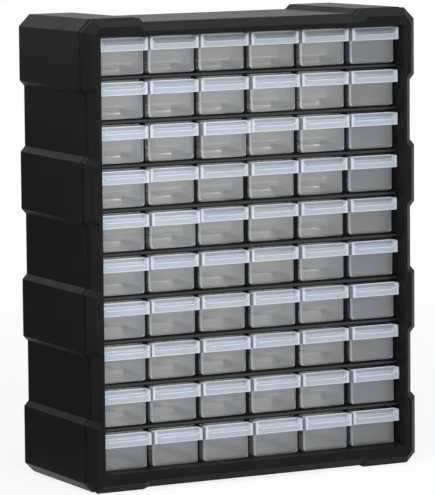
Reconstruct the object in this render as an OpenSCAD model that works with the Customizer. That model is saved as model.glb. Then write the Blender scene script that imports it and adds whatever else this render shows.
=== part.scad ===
// Parts bin cabinet: a moulded case with stepped bumpers and sixty small see-through drawers.
// Millimetres. X runs across the front, Y from the front (-Y) to the back, Z upwards.
// The origin is at the middle of the cabinet's footprint, on the surface that it stands on.

/* [Drawer] */
// Length of a drawer's body, front wall to back wall
body_l = 126; // [100:1:140]
// Height of a drawer
drawer_h = 37.2; // [32:0.1:45]
// Wall thickness of a drawer
drawer_wall = 1.3; // [1:0.1:1.8]
// How much narrower each side wall stands at the bottom than at the rim
side_draft = 0.5; // [0:0.1:1.5]
// How far the back wall leans forward at the bottom
back_draft = 1.5; // [0:0.1:3]
// Radius of a drawer's upright corners
corner_r = 3.5; // [2.5:0.1:7]
// Radius of the long bottom edges
belly_r = 5; // [3:0.1:9]
// Radius of the bottom edge of the front wall
toe_r = 3.5; // [2:0.1:6]
// How far a divider slot's ribs stand out from the side walls
rib_out = 1; // [0.6:0.1:1.5]
// Width of the slot between the two ribs, which takes a divider
slot_w = 1.6; // [1.2:0.1:2.5]
// Thickness of a rib
rib_w = 1; // [0.8:0.1:1.5]
// Distance of the divider slot behind the front wall
slot_at = 66; // [40:1:90]
// How far the ribs stop below the rim
rib_drop = 5; // [2:0.5:10]

/* [Handle] */
// Width of the handle across its two ends
handle_w = 56; // [54:0.5:57]
// Height of the handle, from the rim down
handle_h = 12.6; // [11:0.1:16]
// How far the handle stands out in front of the drawer's front wall
handle_out = 7.5; // [6:0.5:10]
// Depth of the thumb scoop at the handle's front face
scoop_h = 6.4; // [5:0.1:7.2]
// Distance from a side of the handle to the rounded end of the scoop
scoop_end = 3.2; // [2.5:0.1:6]
// Radius of the scoop's rounded ends, seen from the front
scoop_end_r = 6; // [3:0.1:6.4]
// Wall thickness of the handle
handle_wall = 1.2; // [0.9:0.1:1.6]
// Radius of the handle's two upper corners, seen from the front
ear_r = 2.5; // [1.3:0.1:4]
// Radius of the handle's upright front corners
edge_r = 1.5; // [1.3:0.1:2.5]

/* [Grid] */
// Gap between two neighbouring handles
handle_gap = 2; // [1:0.5:5]
// Height of the opening that a drawer slides in
cell_h = 39.6; // [39:0.1:46]
// Height of the bars between two rows
bar_h = 4.6; // [3:0.1:7]
// Width of the posts between two columns
post_w = 3.8; // [2.5:0.1:6]
// Gap between a drawer's side wall and the post beside it
side_gap = 0.6; // [0.3:0.1:3]
// Thickness of the front and rear grilles
grille_t = 4; // [3:0.5:5]
// How far the bars' round noses stand in front of the posts
bar_nose = 6.3; // [3:0.1:8]
// Gap under a drawer that stands on its rails
slide_gap = 0.4; // [0.3:0.05:0.8]
// Length of the rails behind the front grille
front_rail_l = 46; // [30:1:60]
// Depth of the rear shelves in front of the rear grille
rear_shelf_l = 40; // [20:1:50]
// Width of a front rail, which lies under the edges of two neighbouring drawers
front_rail_w = 18; // [14:0.5:26]
// Width of a rear rail
rear_rail_w = 24; // [14:0.5:26]
// Depth of the bar that joins a rear shelf's rails
rear_bar = 4; // [3:0.5:8]
// Thickness of a rail
rail_t = 1.8; // [1.2:0.1:2.5]
// Thickness of the fin that guides the drawers
fin_t = 2.4; // [1.6:0.1:3.5]
// Height of the fin at the front grille
fin_h = 4.5; // [3:0.1:6]
// Height of the fin at its free end
fin_end_h = 6.5; // [3:0.1:9]

/* [Case] */
// Depth of the case
case_d = 160; // [158:1:180]
// Width of the front rim beside the drawers
rim_side = 16; // [14:0.5:24]
// Height of the front rim over the drawers
rim_top = 18.1; // [16:0.1:26]
// Height of the front rim under the drawers
rim_bottom = 19.5; // [14:0.1:26]
// Thickness of the case's wall
skin = 3; // [2:0.1:3.5]
// Width and depth of the bevel round the front rim
bevel = 8; // [5:0.5:9]
// How far the grille lies behind the front of the rim
grille_back = 23.3; // [20:0.1:28]
// Thickness of the lining that runs from the rim back to the grille
lining = 2.4; // [1.6:0.1:3]
// Fit gap round the rear grille
fit = 0.3; // [0.2:0.05:0.5]
// Fit gap in the slots where the racks' strips cross or end
slot_gap = 0.1; // [0.05:0.05:0.3]
// Depth of the groove that runs round the case behind the bevel
groove = 1; // [0.5:0.1:1.5]
// Width of that groove
groove_w = 10; // [6:0.5:14]
// How much the case draws in at the sides and at the top towards the back
case_draft = 2; // [0:0.1:3]

/* [Bumpers] */
// How far the bumpers stand out at the sides
side_relief = 5; // [3:0.5:6]
// How far the bumpers stand out at the top
top_relief = 5; // [3:0.5:6]
// How far the feet stand out at the bottom
foot_relief = 2; // [1:0.5:4]
// Length of a sloping step between a bumper and a recess
slope = 5.5; // [3:0.5:8]
// Length of a side recess at its base
recess_l = 62; // [50:1:70]
// Distance between two neighbouring side recesses, middle to middle
recess_pitch = 131.7; // [120:0.1:140]
// Width of the recess in the top and in the bottom, at its base
top_recess_w = 245; // [200:1:270]
// Cut of the two top corners
top_cut = 12; // [8:0.5:14]
// Cut of the two bottom corners
bottom_cut = 10; // [6:0.5:14]

/* [Resting state] */
// Gap between the posts and the handle of a drawer that is pushed right in
stop_gap = 0.3; // [0.2:0.05:1]
// How far each drawer of the six columns stands open at rest, in one list for each row from the top
open_at_rest = [
    [7, 5, 3, 3, 4, 5.5],
    [5, 4, 3, 5, 3.5, 3.5],
    [5.5, 3, 7, 2, 4.5, 3],
    [7, 2.5, 0, 1, 0, 1.5],
    [5.5, 5, 0, 0, 0.5, 1],
    [4.5, 1, 1.5, 0, 1.5, 2.5],
    [4.5, 2, 1, 2.5, 1, 4.5],
    [4.5, 1.5, 2.5, 1.5, 1.5, 3],
    [4.5, 2.5, 1.5, 2.5, 1.5, 4.5],
    [5.5, 5.5, 6, 6, 6.5, 4],
];

/* [Wall hanging] */
// Radius of a keyhole's head
key_r = 4.5; // [3.5:0.1:5.5]
// Width of a keyhole's slot
key_slot = 4.5; // [3.5:0.1:5]
// Length of a keyhole's slot above the middle of its head
key_rise = 9; // [7:0.5:12]
// Width of the pads that hold the keyholes
pad_w = 26; // [20:1:34]
// Height of the pads under the top bar of the rear grille
pad_h = 22; // [18:1:28]

/* [Hidden] */
columns = 6;
rows = 10;
// The last row's drawers share a node in neighbouring pairs.
PAIRS = [for (c = [1:2:columns]) str("drawers_r", rows, "_c", c, "_c", c + 1)];
SINGLES = [for (r = [1:rows - 1], c = [1:columns]) str("drawer_r", r, "_c", c)];
$fn = 48;
eps = 0.01;

pitch_x = handle_w + handle_gap;
body_w = pitch_x - post_w - 2 * side_gap;
pitch_z = cell_h + bar_h;
field_w = columns * pitch_x;
field_h = rows * cell_h + (rows - 1) * bar_h;
case_w = field_w + 2 * rim_side;
case_h = rim_bottom + field_h + rim_top;
field_top = rim_bottom + field_h;
front_y = -case_d / 2;
back_y = case_d / 2;
grille_y = front_y + grille_back;
wall_y = grille_y - stop_gap - drawer_wall;
half_w = case_w / 2;
recess_top_half = top_recess_w / 2;

CASE_BLACK = [0.13, 0.13, 0.135];
RACK_BLACK = [0.10, 0.10, 0.105];
CLEAR_PLASTIC = [0.78, 0.82, 0.86, 0.65];

// ---- Outlines: convex lists of points, run round anticlockwise ----

function unit(v) = v / norm(v);
function at(pts, i) = pts[(i + len(pts)) % len(pts)];
// Direction of the side that starts at point i, and the normal that points out of it.
function side(pts, i) = unit(at(pts, i + 1) - at(pts, i));
function out(pts, i) = [side(pts, i).y, -side(pts, i).x];
// The same outline with every side moved inwards by e.
function inset(pts, e) = [
    for (i = [0:len(pts) - 1])
        let (a = out(pts, i - 1), b = out(pts, i))
        pts[i] - e * (a + b) / (1 + a * b)
];

// An outline whose corners are rounded by the radii in the list, as true arcs.
module rounded(pts, radii) {
    run = [
        for (i = [0:len(pts) - 1])
            let (a = side(pts, i - 1), b = side(pts, i))
            radii[i] * sqrt((1 - a * b) / (1 + a * b))
    ];
    polygon([
        for (i = [0:len(pts) - 1])
            each (radii[i] > 0
                ? [pts[i] - side(pts, i - 1) * run[i], pts[i] + side(pts, i) * run[i]]
                : [pts[i]])
    ]);
    for (i = [0:len(pts) - 1])
        if (radii[i] > 0) {
            a = out(pts, i - 1);
            b = out(pts, i);
            translate(pts[i] - radii[i] * (a + b) / (1 + a * b)) circle(r = radii[i]);
        }
}

// Extrudes an outline drawn in X and Z from y0 to y1.
module along_y(y0, y1) {
    translate([0, y1, 0]) rotate([90, 0, 0]) linear_extrude(y1 - y0) children();
}

// Extrudes an outline drawn in Y and Z from x0 to x1.
module along_x(x0, x1) {
    translate([x0, 0, 0]) rotate([90, 0, 90]) linear_extrude(x1 - x0) children();
}

// ---- Case: one stepped outline, lofted from its bevelled front to the back ----

function mirrored(pts) = [for (i = [len(pts) - 1:-1:0]) [-pts[i].x, pts[i].y]];

function recess_mid(k) = case_h / 2 + (k - 1) * recess_pitch;

// The step down into side recess k and up again, from below, on a side that lies at x.
function side_recess(k, x) =
    let (z = recess_mid(k), half = recess_l / 2)
    [[x, z - half - slope], [x - side_relief, z - half], [x - side_relief, z + half],
        [x, z + half + slope]];

// The right half of the case's outline, from the bottom recess up to the top one. The sides and
// the top lie the given distance inside their places at the front.
function half_outline(drawn) =
    let (x = half_w - drawn, top = case_h - drawn)
    [
        [recess_top_half, foot_relief],
        [recess_top_half + slope, 0],
        [x - bottom_cut, 0],
        [x, bottom_cut],
        each side_recess(0, x),
        each side_recess(1, x),
        each side_recess(2, x),
        [x, top - top_cut],
        [x - top_cut, top],
        [recess_top_half + slope, top],
        [recess_top_half, top - top_relief],
    ];

function outline(drawn) = concat(half_outline(drawn), mirrored(half_outline(drawn)));

// Joins outlines of the same number of points, each at its own Y, by flat sides.
module loft(outlines, ys) {
    n = len(outlines[0]);
    last = len(outlines) - 1;
    polyhedron(
        points = [for (j = [0:last]) for (p = outlines[j]) [p.x, ys[j], p.y]],
        faces = concat(
            [[for (i = [n - 1:-1:0]) i]],
            [for (j = [0:last - 1], i = [0:n - 1])
                let (k = (i + 1) % n)
                [j * n + i, j * n + k, (j + 1) * n + k, (j + 1) * n + i]],
            [[for (i = [0:n - 1]) last * n + i]]));
}

// The case's outer form, or the hollow in it, which lies a wall's thickness inside. The loft runs
// past both ends, and a plain block trims it there. Only the outer form has the groove.
module case_form(wall, dip, y1) {
    cut = bevel - wall * (2 - sqrt(2));
    rim = inset(outline(0), wall);
    dipped = inset(rim, dip);
    y0 = front_y + wall;
    y_bevel = y0 + cut;
    over = 1;
    intersection() {
        loft(
            [inset(rim, cut + over), rim, each (dip > 0 ? [dipped, dipped, rim] : []),
                inset(outline(case_draft), wall)],
            [y0 - over, y_bevel, each (dip > 0 ? [y_bevel + dip, y_bevel + groove_w - dip,
                y_bevel + groove_w] : []), y1 + over]);
        translate([-case_w, y0, -case_h]) cube([2 * case_w, y1 - y0, 3 * case_h]);
    }
}

// The rectangle that the drawers fill, grown by g.
module field(g) {
    translate([-field_w / 2 - g, rim_bottom - g]) square([field_w + 2 * g, field_h + 2 * g]);
}

module case_shell() {
    color(CASE_BLACK) difference() {
        union() {
            difference() {
                case_form(0, groove, back_y);
                case_form(skin, 0, back_y + eps);
            }
            along_y(front_y + skin / 2, grille_y) field(lining);
        }
        along_y(front_y - eps, grille_y + eps) field(0);
    }
}

// ---- Racks: shelves that carry the drawers, upright dividers and the grille at the back ----

function column_x(c) = (c - (columns + 1) / 2) * pitch_x;
function post_x(p) = (p - columns / 2) * pitch_x;
// Height of the floor of row r, where row 1 is the top one.
function floor_z(r) = rim_bottom + (rows - r) * pitch_z;

// A block between two opposite corners.
module block(a, b) {
    translate(a) cube(b - a);
}

// A flat rail at post p, y0 to y1, from depth t under the height z up to it, grown by g at its
// sides. The outer posts have half a rail.
module rail(p, w, y0, y1, z, t = rail_t, g = 0) {
    x0 = p == 0 ? 0 : -w / 2;
    x1 = p == columns ? 0 : w / 2;
    block([post_x(p) + x0 - g, y0, z - t], [post_x(p) + x1 + g, y1, z + g]);
}

grille_end = grille_y + grille_t;
grille_mid = grille_y + grille_t / 2;
rack_half_w = field_w / 2 + lining;

// Height of the front bar under row r. The lowest one lies behind the rim's lining.
function bar_under(r) = r == rows ? lining : bar_h;

// The bar's round nose, between two rows.
module nose(z) {
    r = bar_h / 2;
    half = field_w / 2 - fit;
    block([-half, grille_y - bar_nose + r, z - bar_h], [half, grille_y + eps, z]);
    translate([-half, grille_y - bar_nose + r, z - r]) rotate([0, 90, 0])
        cylinder(r = r, h = 2 * half);
}

// A front shelf: a bar with its nose, and rails behind it, slotted from behind for the dividers.
module front_shelf(r) {
    z = floor_z(r);
    low = z - bar_under(r);
    half_post = post_w / 2 + slot_gap;
    half_fin = fin_t / 2 + slot_gap;
    difference() {
        union() {
            block([-rack_half_w, grille_y, low], [rack_half_w, grille_end, z]);
            if (r < rows) nose(z);
            for (p = [0:columns]) rail(p, front_rail_w, grille_mid, grille_end + front_rail_l, z);
        }
        for (p = [0:columns]) {
            block([post_x(p) - half_post, grille_mid, low - eps],
                [post_x(p) + half_post, grille_end + slot_gap, z + eps]);
            block([post_x(p) - half_fin, grille_end, low - eps],
                [post_x(p) + half_fin, grille_end + front_rail_l + eps, z + eps]);
        }
    }
}

// An upright divider: a post with a guide fin for each row, notched in front for the shelves.
module divider(p) {
    half = post_w / 2;
    top = field_top + lining;
    bottom = rim_bottom - lining;
    profile = [[grille_end - eps, -rail_t], [grille_end + front_rail_l, -rail_t],
        [grille_end + front_rail_l, fin_end_h], [grille_end - eps, fin_h]];
    translate([post_x(p), 0, 0]) {
        difference() {
            block([-half, grille_y, bottom], [half, grille_end, top]);
            for (r = [1:rows])
                block([-half - eps, grille_y - eps, floor_z(r) - bar_under(r) - slot_gap],
                    [half + eps, grille_mid + slot_gap, floor_z(r) + slot_gap]);
        }
        for (r = [1:rows])
            translate([0, 0, floor_z(r)]) along_x(-fin_t / 2, fin_t / 2) polygon(profile);
    }
}

module front_rack() {
    color(RACK_BLACK) {
        for (r = [1:rows]) front_shelf(r);
        for (p = [0:columns]) divider(p);
    }
}

// A keyhole: a round head with a slot that rises from it.
module keyhole(x, z) {
    translate([x, back_y + eps, z]) rotate([90, 0, 0]) cylinder(r = key_r, h = grille_t + 2 * eps);
    translate([x, back_y + eps, z + key_rise]) rotate([90, 0, 0])
        cylinder(d = key_slot, h = grille_t + 2 * eps);
    translate([x - key_slot / 2, back_y - grille_t - eps, z])
        cube([key_slot, grille_t + 2 * eps, key_rise]);
}

key_x = post_x(columns - 1);
key_z = field_top - pad_h / 2 - key_rise / 2;

// The openings of the grille.
module cells() {
    half = (pitch_x - post_w) / 2;
    for (r = [1:rows], c = [1:columns])
        translate([column_x(c) - half, floor_z(r)]) square([2 * half, cell_h]);
}

rear_face = back_y - grille_t;
rail_end = back_y - grille_t / 2;

// The open grille at the back, with the pads that hold the keyholes and the seats that take the
// ends of the rails.
module back_grille() {
    difference() {
        union() {
            along_y(rear_face, back_y) difference() {
                polygon(inset(outline(case_draft), skin + fit));
                cells();
            }
            for (s = [-1, 1])
                block([s * key_x - pad_w / 2, rear_face, field_top - pad_h],
                    [s * key_x + pad_w / 2, back_y, field_top + eps]);
        }
        for (s = [-1, 1]) keyhole(s * key_x, key_z);
        for (r = [1:rows], p = [0:columns])
            rail(p, rear_rail_w, rear_face - eps, rail_end + slot_gap, floor_z(r),
                rail_t + slot_gap, slot_gap);
    }
}

// A rear shelf: rails whose ends sit in the grille's bar, joined by a bar in front.
module rear_shelf(r) {
    z = floor_z(r);
    front = rear_face - rear_shelf_l;
    block([-field_w / 2, front, z - rail_t], [field_w / 2, front + rear_bar, z]);
    for (p = [0:columns]) rail(p, rear_rail_w, front, rail_end, z);
}

module rear_rack() {
    color(RACK_BLACK) {
        back_grille();
        for (r = [1:rows]) rear_shelf(r);
    }
}

// ---- Drawer ----

// The three outlines of a drawer's body, each e inside its outer face. Their common solid is the body.
module plan(e) {
    w = body_w / 2 - e;
    r = corner_r - e;
    rounded([[-w, e], [w, e], [w, body_l - e], [-w, body_l - e]], [r, r, r, r]);
}

module front_outline(e) {
    w = body_w / 2 - e;
    over = e > 0 ? e : 0;
    r = belly_r - e;
    rounded([[-w + side_draft, e], [w - side_draft, e], [w, drawer_h + over], [-w, drawer_h + over]],
        [r, r, 0, 0]);
}

module side_outline(e) {
    over = e > 0 ? e : 0;
    r = toe_r - e;
    rounded([[e, e], [body_l - back_draft - e, e], [body_l - e, drawer_h + over], [e, drawer_h + over]],
        [r, r, 0, 0]);
}

module body_solid(e) {
    intersection() {
        translate([0, 0, -eps]) linear_extrude(drawer_h + e + 2 * eps) plan(e);
        along_y(-eps, body_l + eps) front_outline(e);
        along_x(-body_w, body_w) side_outline(e);
    }
}

// Two ribs on each side wall, with a divider slot between them.
module slot_ribs() {
    reach = drawer_wall + side_draft + rib_out;
    for (s = [-1, 1], y = [slot_at - slot_w / 2 - rib_w, slot_at + slot_w / 2])
        translate([s * (body_w / 2 - reach / 2 - drawer_wall / 2), y + rib_w / 2, belly_r + (drawer_h - belly_r - rib_drop) / 2])
            cube([reach, rib_w, drawer_h - belly_r - rib_drop], center = true);
}

// Radius of the thumb scoop, whose arc starts at the rim and ends at the handle's front face.
scoop_r = (handle_out * handle_out + scoop_h * scoop_h) / (2 * handle_out);
// How far the scoop's round ends run on below its own bottom.
end_dip = 0.4;

// The thumb scoop grown by e: a round bar along the rim, with round ends seen from the front.
module scoop(e) {
    w = handle_w / 2 - scoop_end + e;
    foot = drawer_h - scoop_r - end_dip - e;
    top = drawer_h + scoop_r;
    intersection() {
        translate([0, -scoop_r, drawer_h]) rotate([0, 90, 0])
            cylinder(r = scoop_r + e, h = handle_w, center = true);
        along_y(-handle_out - scoop_r, scoop_r)
            rounded([[-w, foot], [w, foot], [w, top], [-w, top]], [scoop_end_r + e, scoop_end_r + e, 0, 0]);
    }
}

// The handle's block, each face e inside its place, from the front back to y1 and down to z0.
module handle_block(e, y1, z0) {
    w = handle_w / 2 - e;
    top = drawer_h - e;
    intersection() {
        along_y(-handle_out - eps, y1)
            rounded([[-w, z0], [w, z0], [w, top], [-w, top]], [0, 0, ear_r - e, ear_r - e]);
        translate([0, 0, z0]) linear_extrude(top - z0)
            rounded([[-w, -handle_out + e], [w, -handle_out + e], [w, y1 + eps], [-w, y1 + eps]],
                [edge_r - e, edge_r - e, 0, 0]);
    }
}

// The handle: a scooped block, hollow behind the scoop and open below.
module handle() {
    foot = drawer_h - handle_h;
    difference() {
        handle_block(0, drawer_wall, foot);
        scoop(0);
        difference() {
            handle_block(handle_wall, 0, foot - eps);
            scoop(handle_wall);
        }
    }
}

module drawer() {
    difference() {
        union() {
            body_solid(0);
            handle();
        }
        body_solid(drawer_wall);
    }
    slot_ribs();
}

module drawer_at(r, c) {
    color(CLEAR_PLASTIC)
        translate([column_x(c), wall_y - open_at_rest[r - 1][c - 1], floor_z(r) + slide_gap]) drawer();
}

case_shell();
front_rack();
rear_rack();
for (r = [1:rows - 1], c = [1:columns])
    drawer_at(r, c);
for (k = [0:len(PAIRS) - 1])
    union() {
        drawer_at(rows, 2 * k + 1);
        drawer_at(rows, 2 * k + 2);
    }
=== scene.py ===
import math

import bpy
from mathutils import Matrix, Vector

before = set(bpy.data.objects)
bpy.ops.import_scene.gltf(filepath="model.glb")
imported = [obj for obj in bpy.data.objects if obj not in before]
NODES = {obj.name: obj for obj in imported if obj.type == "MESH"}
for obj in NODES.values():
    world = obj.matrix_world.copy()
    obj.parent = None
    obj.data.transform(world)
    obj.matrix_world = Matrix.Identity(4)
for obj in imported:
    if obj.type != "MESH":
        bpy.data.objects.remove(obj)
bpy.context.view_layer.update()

# ---- Camera, fitted to the case and the drawer grid ----
CAMERA_AT = Vector((-1.88185, -3.53737, 0.70349))
CAMERA_YAW = 27.973
CAMERA_PITCH = -6.741
CAMERA_ROLL = -0.49
CAMERA_CLIP = (0.05, 60.0)
FOCAL_PX = 3911.57
LONG_SIDE_PX = 495
SENSOR = 36.0

# ---- Colours, linear ----
WHITE = (1.0, 1.0, 1.0)
CASE_COLOUR = (0.0070, 0.0069, 0.0067)
RACK_COLOUR = (0.0045, 0.0045, 0.0047)
# Painted highlight: a lighter black for the middle of the bars' round noses.
NOSE_HIGHLIGHT_COLOUR = (0.013, 0.013, 0.0135)
MILK_COLOUR = (0.70, 0.72, 0.745)
HANDLE_COLOUR = (0.58, 0.65, 0.735)
# Painted highlight: the whiter tone of the drawers' top edges, scoop edges, lip edges and outlines.
EDGE_HIGHLIGHT_COLOUR = (0.84, 0.89, 0.94)
# Painted shade: the darker tone of the drawers' outer wall faces and of the handles' flanks.
WALL_SHADE_COLOUR = (0.17, 0.185, 0.21)
CLEAR_TINT = (0.96, 0.953, 0.940)
LAMP_TINT = (0.90, 0.895, 0.885)
FLOOR_COLOUR = (0.8, 0.8, 0.8)
CARD_COLOUR = (0.15, 0.15, 0.15)
SKY_COLOUR = (0.90, 0.94, 1.0)

# ---- Drawer grid, as in the part's source, in metres ----
PITCH_X = 0.058
PITCH_Z = 0.0442
GRID_LEFT = -0.174
GRID_FLOOR = 0.0195
BAR_H = 0.0046
NOSE_BACK = -0.0580
# The right pair of the lowest row: where its two drawers meet, and how much further back the second one stands.
PAIR_NODE = "drawers_r10_c5_c6"
PAIR_SEAM = GRID_LEFT + 5 * PITCH_X
PAIR_STAGGER = 0.0025

# ---- A drawer's sizes, as in the part's source: y from its front, z from its floor level ----
DRAWER_REACH = 0.1335
DRAWER_FOOT = 0.0004
BODY_HALF = 0.0265
BODY_DRAFT = 0.0005 / 0.0372
BELLY_R = 0.005
HANDLE_HALF = 0.028
HANDLE_BACK = 0.0092
HANDLE_FOOT = 0.0250
SCOOP_END = 0.0032
SCOOP_END_R = 0.006
LIP_TOP = 0.0312
RIM_TOP = 0.0376

# ---- Zones of a drawer: each runs from where its ramp is 0 to where it is 1 ----
FRONT_DEPTH = (HANDLE_BACK + 0.0003, HANDLE_BACK - 0.0003)
HANDLE_LEVEL = (HANDLE_FOOT - 0.0003, HANDLE_FOOT + 0.0001)
# Zones of painted highlight: the lip's lower edge, the top edge, the scoop's edge and the body's outline.
FOOT_LEVEL = (HANDLE_FOOT + 0.0014, HANDLE_FOOT + 0.0008)
RIM_LEVEL = (RIM_TOP - 0.0013, RIM_TOP - 0.0008)
LIP_DEPTH = (0.0014, 0.0011)
# FLANK_SIDE and SKIN_EDGE/SKIN_DEPTH are zones of painted shade: the handle's flanks and the walls' outer faces.
FLANK_SIDE = (HANDLE_HALF - 0.0010, HANDLE_HALF - 0.0005)
END_SIDE = (HANDLE_HALF - 0.0036, HANDLE_HALF - 0.0028)
SCOOP_EDGE = (0.0010, 0.0005)
OUTLINE_EDGE = (0.0022, 0.0013)
OUTLINE_DEPTH = (0.0098, 0.0090)
SKIN_EDGE = (0.0009, 0.0005)
SKIN_DEPTH = (0.0090, 0.0098)
FACE_DEPTH = (0.0082, 0.0078)
BACK_DEPTH = (0.112, 0.122)
BED_LEVEL = (0.0035, 0.0025)
BED_DEPTH = (0.008, 0.010)

# ---- How milky each zone is, from 0 for clear to 1 ----
FACE_VEIL = 0.29
BACK_VEIL = 0.68
HANDLE_VEIL = 0.17
END_VEIL = -0.03
# Painted highlight: the extra milkiness along the drawers' edges.
EDGE_HIGHLIGHT_VEIL = 0.30
# Painted shade: the extra milkiness that carries the walls' dark tone.
WALL_SHADE_VEIL = 0.15
BED_CLEARING = 0.75
# Painted highlight: how strongly the lip's lower edge is whitened.
FOOT_HIGHLIGHT_SHARE = 0.5
CLOUD_SCALE = 40.0
CLOUD_SPREAD = (0.97, 1.04)
MILK_THROUGH = 0.45

# ---- Gloss, grain and mottle ----
BARE_GLEAM = 0.04
GLEAM_POWER = 5.0
DRAWER_ROUGHNESS = 0.30
DRAWER_RIPPLE = {"Strength": 0.04, "Distance": 0.0003}
RIPPLE_SCALE = 120.0
CASE_GRAIN = {"Strength": 0.12, "Distance": 0.0002}
CASE_GRAIN_SCALE = 1800.0
RACK_GRAIN = {"Strength": 0.10, "Distance": 0.0002}
RACK_GRAIN_SCALE = 1500.0
MOTTLE_SCALE = 22.0
MOTTLE_SHADES = (0.85, 1.2)
WORN_SHADE = 2.2
WORN_SHARE = 0.35
EDGE_RADIUS = 0.0009
EDGE_LEAN = (0.02, 0.25)
CASE_ROUGHNESS = (0.37, 0.48)
RACK_ROUGHNESS = (0.50, 0.60)
NOSE_ROUGHNESS = (0.28, 0.36)
CASE_SPECULAR = 0.07
RACK_SPECULAR = 0.05
NOSE_SPECULAR = 0.5
# Where the bars' noses get their painted highlight as well as their shinier gloss.
NOSE_DEPTH = (NOSE_BACK, NOSE_BACK - 0.001)
NOSE_LEVEL = (0.0017, 0.0006)

# ---- Stage ----
SKY_STRENGTH = 0.45
FLOOR_HALF = 6.0
FLOOR_LEVEL = -0.0003
# The floor's own glow, from under the object to where it has faded into the background.
FLOOR_FADE = (0.5, 1.6)
FLOOR_GLOW = (0.85, 1.0)
# Name, place, aim, width and height, radiance, colour.
SOFTBOXES = (
    ("overhead", (0.0, -0.45, 1.9), (0.0, -0.05, 0.2), (2.1, 0.8), 3.7, (0.93, 0.97, 1.0)),
    ("front_left", (-0.50, -1.20, 0.72), (0.0, -0.05, 0.25), (0.7, 0.7), 9.5, WHITE),
)
# Name, place, aim, width and height.
FLAGS = (
    ("low_card", (-0.75, 0.55, 0.0006), (-0.75, 0.55, 1.0), (1.1, 1.7)),
    ("side_card", (-0.66, 0.88, 0.20), (-0.19, 0.0, 0.20), (1.2, 0.45)),
)
TRANSPARENT_BOUNCES = 40
ALL_BOUNCES = 10


class Tree:
    """A material's or the world's node tree, with short ways to add and join nodes."""

    def __init__(self, tree):
        self.tree = tree
        self.tree.nodes.clear()

    def add(self, kind, values=None, **settings):
        node = self.tree.nodes.new(kind)
        for key, value in settings.items():
            setattr(node, key, value)
        for key, value in (values or {}).items():
            self.put(node.inputs[key], value)
        return node

    def put(self, socket, value):
        if isinstance(value, bpy.types.NodeSocket):
            self.tree.links.new(value, socket)
        else:
            socket.default_value = value

    def maths(self, operation, a, b=0.0, clamp=False):
        node = self.add("ShaderNodeMath", {0: a, 1: b}, operation=operation, use_clamp=clamp)
        return node.outputs[0]

    def largest(self, first, *others):
        for value in others:
            first = self.maths("MAXIMUM", first, value)
        return first

    def product(self, a, b):
        return self.maths("MULTIPLY", a, b)

    def ramp(self, value, low, high, to_low=0.0, to_high=1.0):
        values = {"Value": value, "From Min": low, "From Max": high, "To Min": to_low, "To Max": to_high}
        return self.add("ShaderNodeMapRange", values).outputs["Result"]

    def noise(self, vector, scale, detail=3.0, roughness=0.5):
        values = {"Vector": vector, "Scale": scale, "Detail": detail, "Roughness": roughness}
        return self.add("ShaderNodeTexNoise", values).outputs["Fac"]

    def bump(self, amount, height, **more):
        values = {**amount, "Height": height}
        values.update((key.title(), value) for key, value in more.items())
        return self.add("ShaderNodeBump", values).outputs[0]

    def blend(self, factor, a, b):
        node = self.add("ShaderNodeMix", data_type="RGBA")
        self.put(node.inputs[0], factor)
        for key, colour in ((6, a), (7, b)):
            self.put(node.inputs[key], colour if isinstance(colour, bpy.types.NodeSocket) else (*colour, 1.0))
        return node.outputs[2]

    def mix(self, factor, a, b):
        return self.add("ShaderNodeMixShader", {0: factor, 1: a, 2: b}).outputs[0]

    def shader(self, kind, colour, **more):
        """A shader node of a kind whose first colour socket is Color."""
        values = {"Color": colour if isinstance(colour, bpy.types.NodeSocket) else (*colour, 1.0)}
        values.update((key.title(), value) for key, value in more.items())
        return self.add(kind, values).outputs[0]

    def outside_rays(self):
        """1 for what the camera sees, also by reflection or through glass, and 0 for the light on the object."""
        rays = self.add("ShaderNodeLightPath").outputs
        return self.largest(rays["Is Camera Ray"], rays["Is Glossy Ray"], rays["Is Transmission Ray"])


def new_material(name):
    material = bpy.data.materials.new(name)
    material.use_nodes = True
    return material, Tree(material.node_tree)


# ---- Materials ----

def mottle_noise(t, place):
    return t.noise(place, MOTTLE_SCALE, 4.0, 0.6)


def mottled(t, mottle, colour):
    """The colour, a little darker or lighter from place to place."""
    dark, light = (tuple(c * share for c in colour) for share in MOTTLE_SHADES)
    return t.blend(t.ramp(mottle, 0.3, 0.7), dark, light)


def principled(t, colour, mottle, roughness, specular, normal):
    values = {"Base Color": colour, "Roughness": t.ramp(mottle, 0.25, 0.75, *roughness),
              "Specular IOR Level": specular, "Normal": normal}
    return t.add("ShaderNodeBsdfPrincipled", values).outputs[0]


def case_plastic(name):
    """Moulded black plastic: fine grain, a faint mottle, softened edges that catch the light."""
    material, t = new_material(name)
    place = t.add("ShaderNodeTexCoord").outputs["Object"]
    mottle = mottle_noise(t, place)
    # 1 along edges and 0 on flats, from how far a rounded normal leans away from the true one.
    rounded = t.add("ShaderNodeBevel", {"Radius": EDGE_RADIUS}, samples=6).outputs[0]
    true = t.add("ShaderNodeNewGeometry").outputs["True Normal"]
    upright = t.add("ShaderNodeVectorMath", {0: rounded, 1: true}, operation="DOT_PRODUCT").outputs["Value"]
    edge = t.ramp(upright, 1.0 - EDGE_LEAN[0], 1.0 - EDGE_LEAN[1])
    normal = t.bump(CASE_GRAIN, t.noise(place, CASE_GRAIN_SCALE, 2.0), normal=rounded)
    shade = mottled(t, mottle, CASE_COLOUR)
    worn = t.blend(t.product(edge, WORN_SHARE), shade, tuple(c * WORN_SHADE for c in CASE_COLOUR))
    skin = principled(t, worn, mottle, CASE_ROUGHNESS, CASE_SPECULAR, normal)
    t.add("ShaderNodeOutputMaterial", {"Surface": skin})
    return material


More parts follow.
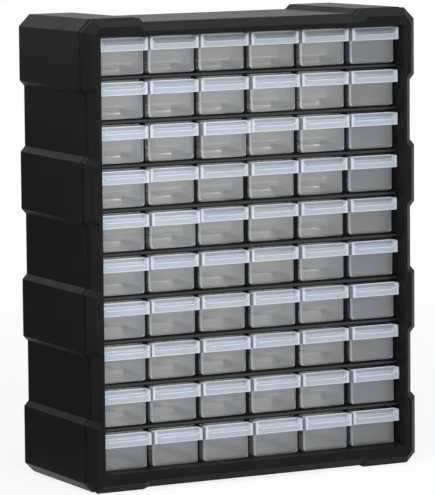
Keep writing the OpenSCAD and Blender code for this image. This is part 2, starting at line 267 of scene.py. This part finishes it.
def rack_plastic(name):
    """Black plastic that is dull in the depth of the grille and polished on the bars' round noses, with a
    painted highlight: a lighter colour along the middle of the bars' round noses.
    """
    material, t = new_material(name)
    place = t.add("ShaderNodeTexCoord").outputs["Object"]
    where = t.add("ShaderNodeSeparateXYZ", {0: place}).outputs
    level = t.maths("FLOORED_MODULO", t.maths("SUBTRACT", where["Z"], GRID_FLOOR), PITCH_Z)
    level = t.maths("ABSOLUTE", t.maths("SUBTRACT", level, PITCH_Z - BAR_H / 2))
    # Painted highlight: a band along the middle of the bars' noses gets a lighter colour, besides a shinier
    # gloss.
    nose_highlight = t.product(t.ramp(where["Y"], *NOSE_DEPTH), t.ramp(level, *NOSE_LEVEL))
    mottle = mottle_noise(t, place)
    normal = t.bump(RACK_GRAIN, t.noise(place, RACK_GRAIN_SCALE, 2.0))
    dull = principled(t, mottled(t, mottle, RACK_COLOUR), mottle, RACK_ROUGHNESS, RACK_SPECULAR, normal)
    shiny_with_painted_highlight = principled(t, mottled(t, mottle, NOSE_HIGHLIGHT_COLOUR), mottle, NOSE_ROUGHNESS, NOSE_SPECULAR, normal)
    t.add("ShaderNodeOutputMaterial", {"Surface": t.mix(nose_highlight, dull, shiny_with_painted_highlight)})
    return material


def place_in_drawer(t, place, generated, stagger):
    """How far a point lies from its drawer's middle, behind its front and above its floor level."""
    where = t.add("ShaderNodeSeparateXYZ", {0: place}).outputs
    share = t.add("ShaderNodeSeparateXYZ", {0: generated}).outputs
    x = t.maths("FLOORED_MODULO", t.maths("SUBTRACT", where["X"], GRID_LEFT), PITCH_X)
    x = t.maths("ABSOLUTE", t.maths("SUBTRACT", x, PITCH_X / 2))
    y = t.product(share["Y"], DRAWER_REACH + stagger)
    if stagger:
        late = t.ramp(where["X"], PAIR_SEAM - 0.0005, PAIR_SEAM + 0.0005, 0.0, stagger)
        y = t.maths("SUBTRACT", y, late)
    z = t.maths("FLOORED_MODULO", t.maths("SUBTRACT", where["Z"], GRID_FLOOR), PITCH_Z)
    return x, y, z


def from_corner(t, x, side, z, level):
    """How far a point lies from a rounded lower corner's centre, counting only what is beyond it."""
    across = t.maths("MAXIMUM", t.maths("SUBTRACT", x, side), 0.0)
    below = t.maths("MAXIMUM", t.maths("SUBTRACT", level, z), 0.0)
    squares = t.maths("ADD", t.product(across, across), t.product(below, below))
    return t.maths("POWER", squares, 0.5)


def drawer_zones(t, x, y, z):
    """Masks for the handle, the painted highlight on its edges and along the body's outline, the painted shade
    on the walls' outer faces and the handle's flanks, and the bed.
    """
    in_front = t.ramp(y, *FRONT_DEPTH)
    handle = t.product(in_front, t.ramp(z, *HANDLE_LEVEL))
    lip = t.product(handle, t.ramp(y, *LIP_DEPTH))
    # How far inside the body's outline a point lies, seen from the front.
    straight = BODY_HALF - BELLY_R
    half = t.ramp(z, 0.0, RIM_TOP, straight - BODY_DRAFT * RIM_TOP, straight)
    inside = t.maths("SUBTRACT", BELLY_R, from_corner(t, x, half, z, BELLY_R + DRAWER_FOOT))
    # Painted highlight along the body's outline near the front.
    outline = t.product(t.ramp(inside, *OUTLINE_EDGE), t.ramp(y, *OUTLINE_DEPTH))
    # How far outside the thumb scoop's outline a point of the handle's front lies, for the painted highlight
    # along that edge.
    corner = from_corner(t, x, HANDLE_HALF - SCOOP_END - SCOOP_END_R, z, LIP_TOP + SCOOP_END_R)
    scoop_highlight = t.product(lip, t.ramp(t.maths("SUBTRACT", corner, SCOOP_END_R), *SCOOP_EDGE))
    # Painted highlight along the top edge and along the lip's lower edge.
    rim_highlight = t.product(in_front, t.ramp(z, *RIM_LEVEL))
    foot_highlight = t.product(lip, t.ramp(z, *FOOT_LEVEL, 0.0, FOOT_HIGHLIGHT_SHARE))
    # All the painted highlights of a drawer together.
    edge_highlight = t.largest(rim_highlight, scoop_highlight, foot_highlight, outline)
    # Painted shade: the outer faces of the walls, and the handle's flanks, get a darker tone than the clear
    # faces between them.
    skin = t.product(t.ramp(inside, *SKIN_EDGE), t.ramp(y, *SKIN_DEPTH))
    wall_shade = t.largest(skin, t.product(in_front, t.ramp(x, *FLANK_SIDE)))
    bed = t.product(t.ramp(z, *BED_LEVEL), t.ramp(y, *BED_DEPTH))
    return handle, edge_highlight, wall_shade, bed


def drawer_veil(t, place, x, y, handle, edge_highlight, wall_shade, bed):
    """How milky the plastic is: most on the back wall, and more on the front than on the sides and the floor."""
    veil = t.maths("ADD", t.ramp(y, *FACE_DEPTH, 0.0, FACE_VEIL), t.ramp(y, *BACK_DEPTH, 0.0, BACK_VEIL))
    veil = t.product(veil, t.ramp(t.noise(place, CLOUD_SCALE, 3.0), 0.3, 0.7, *CLOUD_SPREAD))
    veil = t.product(veil, t.maths("SUBTRACT", 1.0, t.product(bed, BED_CLEARING)))
    end = t.ramp(x, *END_SIDE, HANDLE_VEIL, END_VEIL)
    veil = t.maths("ADD", veil, t.product(handle, end))
    # Painted highlight: the drawers' edges are milkier.
    veil = t.maths("ADD", veil, t.product(edge_highlight, EDGE_HIGHLIGHT_VEIL))
    # Painted shade: the walls' outer faces and the handle's flanks are milkier, to carry their dark tone.
    return t.maths("ADD", veil, t.product(wall_shade, WALL_SHADE_VEIL), clamp=True)


def drawer_plastic(name, stagger=0.0):
    """See-through plastic, faintly milky: clearer in the body, whiter in the handle, with a painted highlight
    along the rims and edges and painted shade on the walls' outer faces and the handle's flanks.
    """
    material, t = new_material(name)
    coords = t.add("ShaderNodeTexCoord").outputs
    place = coords["Object"]
    x, y, z = place_in_drawer(t, place, coords["Generated"], stagger)
    handle, edge_highlight, wall_shade, bed = drawer_zones(t, x, y, z)
    veil = drawer_veil(t, place, x, y, handle, edge_highlight, wall_shade, bed)
    # Painted highlight: the drawers' edges take a whiter tone.
    tone = t.blend(edge_highlight, t.blend(handle, MILK_COLOUR, HANDLE_COLOUR), EDGE_HIGHLIGHT_COLOUR)
    # Painted shade: the walls' outer faces and the handle's flanks take a darker tone.
    tone = t.blend(wall_shade, tone, WALL_SHADE_COLOUR)
    normal = t.bump(DRAWER_RIPPLE, t.noise(place, RIPPLE_SCALE, 2.0))
    facing = t.add("ShaderNodeLayerWeight", {"Blend": 0.5, "Normal": normal}).outputs["Facing"]
    gleam = t.ramp(t.maths("POWER", facing, GLEAM_POWER), 0.0, 1.0, BARE_GLEAM, 1.0)
    clear = t.shader("ShaderNodeBsdfTransparent", CLEAR_TINT)
    milk = t.shader("ShaderNodeBsdfDiffuse", tone, normal=normal)
    through = t.shader("ShaderNodeBsdfTranslucent", tone)
    gloss = t.shader("ShaderNodeBsdfGlossy", WHITE, roughness=DRAWER_ROUGHNESS, normal=normal)
    hazy = t.mix(veil, clear, t.mix(MILK_THROUGH, milk, through))
    surface = t.mix(gleam, hazy, gloss)
    # Thin see-through plastic hardly shades what is behind it.
    shadow_rays = t.add("ShaderNodeLightPath").outputs["Is Shadow Ray"]
    passing = t.shader("ShaderNodeBsdfTransparent", LAMP_TINT)
    t.add("ShaderNodeOutputMaterial", {"Surface": t.mix(shadow_rays, surface, passing)})
    return material


def floor_material(name):
    """A white floor that keeps the object's shadow and fades into the background."""
    material, t = new_material(name)
    seen = t.outside_rays()
    place = t.add("ShaderNodeTexCoord").outputs["Object"]
    far = t.add("ShaderNodeVectorMath", {0: place}, operation="LENGTH").outputs["Value"]
    share = t.product(seen, t.ramp(far, *FLOOR_FADE, *FLOOR_GLOW))
    matt = t.shader("ShaderNodeBsdfDiffuse", FLOOR_COLOUR)
    glow = t.shader("ShaderNodeEmission", WHITE, strength=1.0)
    t.add("ShaderNodeOutputMaterial", {"Surface": t.mix(share, matt, glow)})
    return material


def cloth_material(name):
    material, t = new_material(name)
    t.add("ShaderNodeOutputMaterial", {"Surface": t.shader("ShaderNodeBsdfDiffuse", CARD_COLOUR)})
    return material


# ---- Stage ----

def make_world():
    world = bpy.data.worlds.new("studio")
    bpy.context.scene.world = world
    world.use_nodes = True
    t = Tree(world.node_tree)
    seen = t.outside_rays()
    ambient = t.shader("ShaderNodeBackground", SKY_COLOUR, strength=SKY_STRENGTH)
    backdrop = t.shader("ShaderNodeBackground", WHITE, strength=1.0)
    t.add("ShaderNodeOutputWorld", {"Surface": t.mix(seen, ambient, backdrop)})


def flat_mesh(name, half_width, half_height, material):
    corners = [(x * half_width, y * half_height, 0.0) for x, y in ((-1, -1), (1, -1), (1, 1), (-1, 1))]
    mesh = bpy.data.meshes.new(name)
    mesh.from_pydata(corners, [], [(0, 1, 2, 3)])
    mesh.materials.append(material)
    return bpy.data.objects.new(name, mesh)


def make_floor():
    floor = flat_mesh("floor", FLOOR_HALF, FLOOR_HALF, floor_material("floor_white"))
    floor.location = (0.0, 0.0, FLOOR_LEVEL)
    bpy.context.scene.collection.objects.link(floor)


def turn_to(at, towards, track):
    return (Vector(towards) - Vector(at)).to_track_quat(track, "Y").to_euler()


def make_softbox(name, at, towards, size, radiance, colour):
    light = bpy.data.lights.new(name, "AREA")
    light.color = colour
    light.shape = "RECTANGLE"
    light.size, light.size_y = size
    light.energy = radiance * math.pi * size[0] * size[1]
    lamp = bpy.data.objects.new(name, light)
    lamp.location = at
    lamp.rotation_euler = turn_to(at, towards, "-Z")
    lamp.visible_camera = False
    bpy.context.scene.collection.objects.link(lamp)


def make_flag(name, at, towards, size):
    """A dark card beside the set that only shows as a reflection, to keep the black plastic black."""
    card = flat_mesh(name, size[0] / 2, size[1] / 2, cloth_material(name + "_cloth"))
    card.location = at
    card.rotation_euler = turn_to(at, towards, "Z")
    for ray in ("camera", "diffuse", "transmission", "volume_scatter", "shadow"):
        setattr(card, "visible_" + ray, False)
    bpy.context.scene.collection.objects.link(card)


def make_camera():
    yaw, pitch, roll = (math.radians(a) for a in (CAMERA_YAW, CAMERA_PITCH, CAMERA_ROLL))
    level = math.cos(pitch)
    ahead = Vector((math.sin(yaw) * level, math.cos(yaw) * level, math.sin(pitch)))
    right = Vector((math.cos(yaw), -math.sin(yaw), 0.0))
    up = right.cross(ahead)
    rolled_right = right * math.cos(roll) + up * math.sin(roll)
    rolled_up = up * math.cos(roll) - right * math.sin(roll)
    data = bpy.data.cameras.new("camera")
    data.sensor_fit = "AUTO"
    data.sensor_width = SENSOR
    data.lens = FOCAL_PX / LONG_SIDE_PX * SENSOR
    data.clip_start, data.clip_end = CAMERA_CLIP
    camera = bpy.data.objects.new("camera", data)
    turn = Matrix((rolled_right, rolled_up, -ahead)).transposed().to_4x4()
    camera.matrix_world = Matrix.Translation(CAMERA_AT) @ turn
    bpy.context.scene.collection.objects.link(camera)
    bpy.context.scene.camera = camera


def dress():
    """Give every CAD node its material."""
    case = case_plastic("case_plastic")
    rack = rack_plastic("rack_plastic")
    drawer = drawer_plastic("drawer_plastic")
    special = {
        "case_shell": case,
        "front_rack": rack,
        "rear_rack": rack,
        PAIR_NODE: drawer_plastic("pair_plastic", PAIR_STAGGER),
    }
    for name, node in NODES.items():
        node.data.materials.clear()
        node.data.materials.append(special.get(name, drawer))


scene = bpy.context.scene
scene.view_settings.view_transform = "Standard"
scene.cycles.transparent_max_bounces = TRANSPARENT_BOUNCES
scene.cycles.max_bounces = ALL_BOUNCES
dress()
make_world()
make_floor()
for softbox in SOFTBOXES:
    make_softbox(*softbox)
for flag in FLAGS:
    make_flag(*flag)
make_camera()
